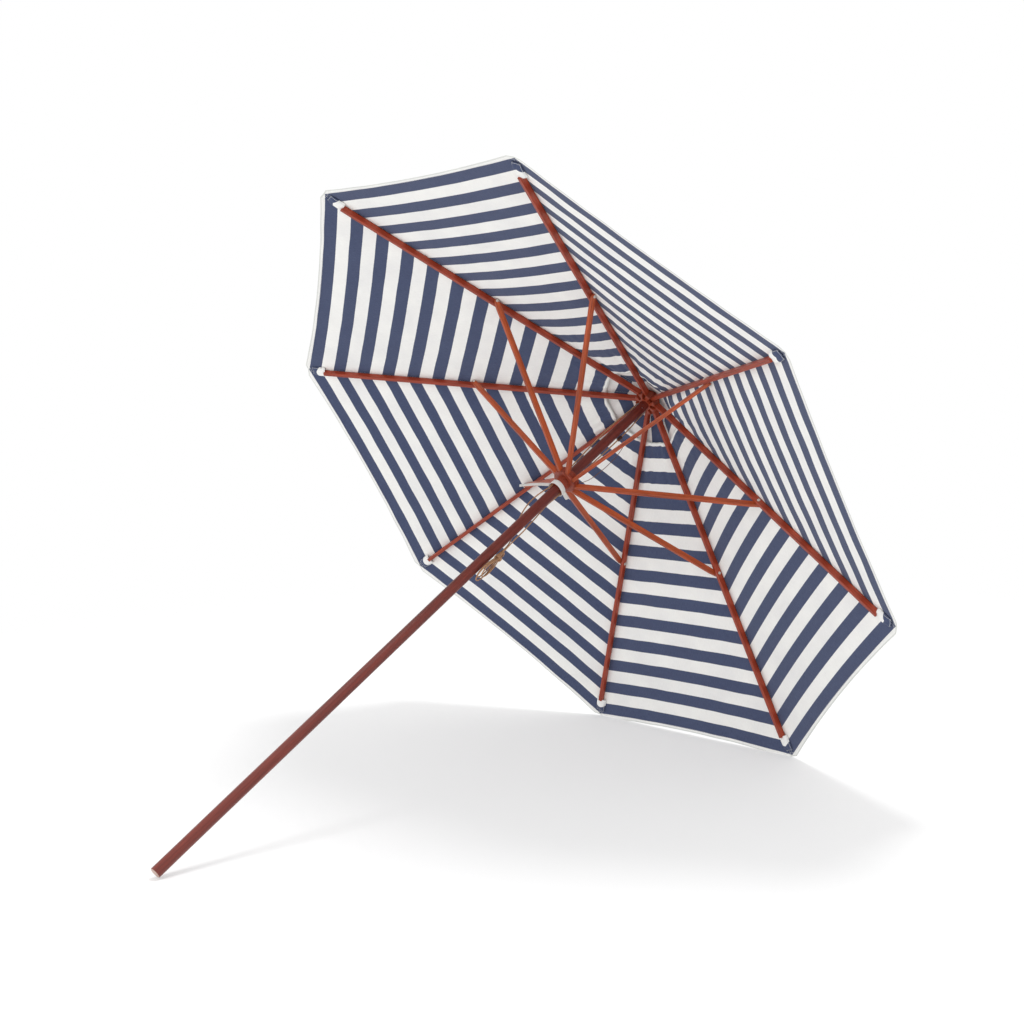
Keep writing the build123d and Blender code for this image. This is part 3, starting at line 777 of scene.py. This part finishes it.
# ---- pockets at the corners ----
POCKET_END = RIB_LENGTH + 0.058
POCKET_FALL = 0.205           # slope of the canopy's underside, square to the rib
POCKET_DEEP = 0.0150
POCKET_CLOTH = 0.0008
POCKET_SIDES = 20
# along the rib, share of the depth, half width
POCKET_STATIONS = [(RIB_LENGTH - 0.004, 0.88, 0.0215), (RIB_LENGTH - 0.002, 0.98, 0.0222),
                   (RIB_LENGTH + 0.003, 1.0, 0.0225), (RIB_LENGTH + 0.014, 1.0, 0.0225),
                   (RIB_LENGTH + 0.028, 0.98, 0.0222), (RIB_LENGTH + 0.038, 0.92, 0.0218),
                   (RIB_LENGTH + 0.046, 0.70, 0.0210), (RIB_LENGTH + 0.053, 0.36, 0.0195),
                   (POCKET_END, 0.10, 0.0165)]


def pocket(number):
    """A sewn pouch of two layers under the corner, round the rib's tongue."""
    verts, cloth, edge = [], [], []
    for layer in (0.0, POCKET_CLOTH):
        for along, depth, wide in POCKET_STATIONS:
            for i in range(POCKET_SIDES + 1):
                share = -1 + 2 * i / POCKET_SIDES
                t = share * wide
                roof = RIDGE - 0.0012 - POCKET_FALL * abs(t)
                drop = POCKET_DEEP * depth * (1 - abs(share) ** 2.6) ** 0.8
                lowered = roof - drop - 0.0006 + layer * (1 if drop > 0.002 else 0.4)
                x = PIVOT_R + along * math.cos(SLOPE) + lowered * math.sin(SLOPE)
                z = PIVOT_Z - along * math.sin(SLOPE) + lowered * math.cos(SLOPE)
                verts.append((x, t, z))
                cloth.append((x * math.cos(HALF) + abs(t) * math.sin(HALF) - 0.006, t))
                to_end = min(along - RIB_LENGTH + 0.004, POCKET_END - along)
                edge.append((abs(wide - abs(t)) + 0.003, to_end + 0.0095))
    rows, columns = len(POCKET_STATIONS), POCKET_SIDES + 1
    count = rows * columns
    faces = []
    for quad in grid_faces(rows, columns):
        faces += [turned_over(quad), moved(quad, count)]
    faces += [(q, p, p + count, q + count) for p, q in border_edges(rows, columns)]
    obj = add_mesh(f"pocket_{number}", placed(verts, number, 1), faces, CANOPY,
                   {"Cloth": cloth, "Edge": edge})
    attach(obj, f"rib_{number}")
    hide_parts(f"canopy_{number}")


for number in range(1, RIBS + 1):
    pocket(number)


# ---- closing strap ----
def webbing():
    """Pale woven tape. The layer Lay holds metres across it and along it."""
    paint = Paint("strap_webbing")
    _, across, run = paint.layer("Lay")
    rows = paint.zigzag(paint.maths("MULTIPLY", run, 1 / 0.0016))
    ribs = paint.zigzag(paint.maths("MULTIPLY", across, 1 / 0.0022))
    weave = paint.maths("ADD", rows, paint.maths("MULTIPLY", ribs, 0.6))
    paint.bump(weave, 0.6, 0.0005)
    paint.shade({"Base Color": paint.ramp(weave, list(zip((0.1, 0.6), WEBBING_SHADES))),
                 "Roughness": 0.85, "Sheen Weight": 0.15})
    return paint.material


WEBBING = webbing()
STRAP_THICK = 0.0013
STRAP_WIDTH, TAIL_WIDTH = 0.0215, 0.016
TAIL_R = 0.0316               # where a tail leaves the loop
# outline of the strap's section, in half widths and thicknesses
STRAP_SECTION = [(-1.0, 0.0), (-0.94, 0.5), (-0.5, 0.5), (0.5, 0.5), (0.94, 0.5), (1.0, 0.0),
                 (0.94, -0.5), (0.5, -0.5), (-0.5, -0.5), (-0.94, -0.5)]


def band(name, points, widths, faces_to, held):
    """A flat strap along a line. faces_to gives the outward direction of its face at each point."""
    line = np.array(points, float)
    marks = distances(line)
    ring = len(STRAP_SECTION)
    verts, lays = [], []
    for place, ahead, width, outward, mark in zip(line, tangents(line), widths, faces_to, marks):
        outward = np.array(outward, float)
        outward = outward - ahead * outward.dot(ahead)
        outward /= np.linalg.norm(outward)
        side = np.cross(ahead, outward)
        for share, level in STRAP_SECTION:
            verts.append(place + side * share * width / 2 + outward * level * STRAP_THICK)
            lays.append((share * width / 2, mark))
    last = (len(line) - 1) * ring
    faces = grid_faces(len(line), ring, ring=True)
    faces += [tuple(range(ring - 1, -1, -1)), tuple(last + i for i in range(ring))]
    obj = add_mesh(name, verts, faces, WEBBING, {"Lay": lays})
    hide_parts("closing_strap")
    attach(obj, "runner")
    float(np.mean(widths))


def loop():
    """The strap round the runner's neck, lapped over its own start."""
    start, end, steps = -38, 330, 90
    slack = 0.0008
    points, faces_to = [], []
    for i in range(steps + 1):
        angle = math.radians(start + (end - start) * i / steps)
        wave = slack * math.sin(3 * angle) * 0.5 + slack * 0.5
        r = STRAP_R + wave
        points.append((r * math.cos(angle), r * math.sin(angle), STRAP_Z + 0.0012 * math.sin(2 * angle)))
        faces_to.append((math.cos(angle), math.sin(angle), 0))
    band("strap_loop", points, [STRAP_WIDTH] * len(points), faces_to, "stretched")


def tail(name, azimuth, direction, length, fall, twist):
    """A strap end that leaves the loop, droops a little and turns on its way."""
    steps = 22
    angle = math.radians(azimuth)
    out = np.array([math.cos(angle), math.sin(angle), 0.0])
    start = out * TAIL_R + np.array([0, 0, STRAP_Z])
    way = np.array(direction, float)
    way /= np.linalg.norm(way)
    face = np.cross(way, (0, 0, 1))
    face /= np.linalg.norm(face)
    if face.dot(out) < 0:
        face = -face
    points, faces_to = [], []
    for i in range(steps + 1):
        t = i / steps
        points.append(start + way * length * t + np.array([0, 0, -fall * t * t])
                      + face * 0.004 * math.sin(3.0 * t))
        lean = math.radians(twist) * t
        faces_to.append(face * math.cos(lean) + np.cross(way, face) * math.sin(lean))
    widths = [TAIL_WIDTH * (1.0 if i < steps else 0.94) for i in range(steps + 1)]
    band(name, points, widths, faces_to, "hung")


loop()
tail("strap_tail", -38, (0.62, -0.50, -0.60), 0.112, 0.004, 14)
tail("strap_end", 150, (-0.75, 0.45, -0.35), 0.030, 0.003, 6)

# ---- materials of the carried-over CAD pieces ----
finish = {"pole": POLE_WOOD, "crown_hub": HUB_WOOD, "runner_hub": HUB_WOOD, "finial": FINIAL_WOOD,
          "rope_stop": STOP_WOOD, "crown_pins": STEEL, "runner_pins": STEEL, "sheave_axle": STEEL,
          "sheave": SHEAVE_METAL}
for number in range(1, RIBS + 1):
    for bar, shades, pitch in (("rib", RIB_SHADES, -SLOPE), ("strut", STRUT_SHADES, SLOPE)):
        axes = bar_axes(number, pitch)
        finish[f"{bar}_{number}"] = wood(f"{bar}_wood_{number}", shades, axes, 0.42, 0.12)
    finish[f"rib_bolt_{number}"] = STEEL
for node_name, mat in finish.items():
    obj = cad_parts[node_name]
    obj.data.materials.clear()
    obj.data.materials.append(mat)

# ---- floor and light ----
FLOOR_RIBS = (5, 6)           # the canopy rests on these two corners
FOOT_R = 0.019
FLOOR_HALF = 14.0
CENTRE = Vector((0, 0, 1.6))  # what the lights point at


def floor_plane():
    """A pale floor that the foot of the pole and two corners of the canopy rest on.

    It fades out with distance, so that the background stays white, and can't be seen from
    below. Returns its upward direction.
    """
    corner_z = ridge_height(CORNER_R, RIDGE)
    corners = []
    for number in FLOOR_RIBS:
        angle = rib_angle(number)
        corners.append(Vector((CORNER_R * math.cos(angle), CORNER_R * math.sin(angle), corner_z)))
    normal = corners[0].cross(corners[1]).normalized()
    foot = Vector((-normal.x, -normal.y, 0)).normalized() * FOOT_R
    normal = (corners[0] - foot).cross(corners[1] - foot).normalized()
    side = normal.orthogonal().normalized()
    other = normal.cross(side)
    middle = foot - normal * 0.002
    verts = [middle + side * a * FLOOR_HALF + other * b * FLOOR_HALF
             for a, b in ((-1, -1), (1, -1), (1, 1), (-1, 1))]
    paint = Paint("floor_paint")
    paint.shade({"Base Color": (0.50, 0.50, 0.50, 1.0), "Emission Color": (1.0, 1.0, 1.0, 1.0),
                 "Emission Strength": 0.42, "Roughness": 0.9, "Specular IOR Level": 0.0})
    away = paint.node("ShaderNodeVectorMath", {0: paint.place(), 1: (-1.0, -0.4, 1.0)},
                      operation="DISTANCE").outputs[1]
    back = paint.node("ShaderNodeNewGeometry").outputs["Backfacing"]
    unseen = paint.maths("MAXIMUM", back, paint.remapped(away, 2.6, 5.0, 0.0, 1.0))
    clear = paint.node("ShaderNodeBsdfTransparent").outputs[0]
    mix = paint.node("ShaderNodeMixShader", {0: unseen, 1: paint.shader.outputs[0], 2: clear})
    paint.fill(paint.tree.nodes["Material Output"], {"Surface": mix.outputs[0]})
    add_mesh("floor", verts, [(0, 1, 2, 3)], paint.material)
    return normal


def soft_light(name, place, size, power):
    data = bpy.data.lights.new(name, "AREA")
    data.shape = "DISK"
    data.size = size
    data.energy = power
    obj = bpy.data.objects.new(name, data)
    bpy.context.scene.collection.objects.link(obj)
    obj.location = place
    obj.rotation_euler = (CENTRE - place).to_track_quat("-Z", "Y").to_euler()


up = floor_plane()
toward = (camera.location - CENTRE).normalized()
level_right = (right - up * right.dot(up)).normalized()
level_toward = (toward - up * toward.dot(up)).normalized()
soft_light("key", CENTRE + up * 5.6 + level_right * 0.5 - level_toward * 0.2, 1.7, 205)
soft_light("fill", CENTRE + toward * 5.0 + up * 1.6 - level_right * 2.5, 4.0, 22)

world = bpy.data.worlds.new("studio")
world.use_nodes = True
background = world.node_tree.nodes["Background"]
background.inputs["Color"].default_value = (1.0, 1.0, 1.0, 1.0)
background.inputs["Strength"].default_value = 1.0
bpy.context.scene.world = world
bpy.context.scene.view_settings.view_transform = "Standard"
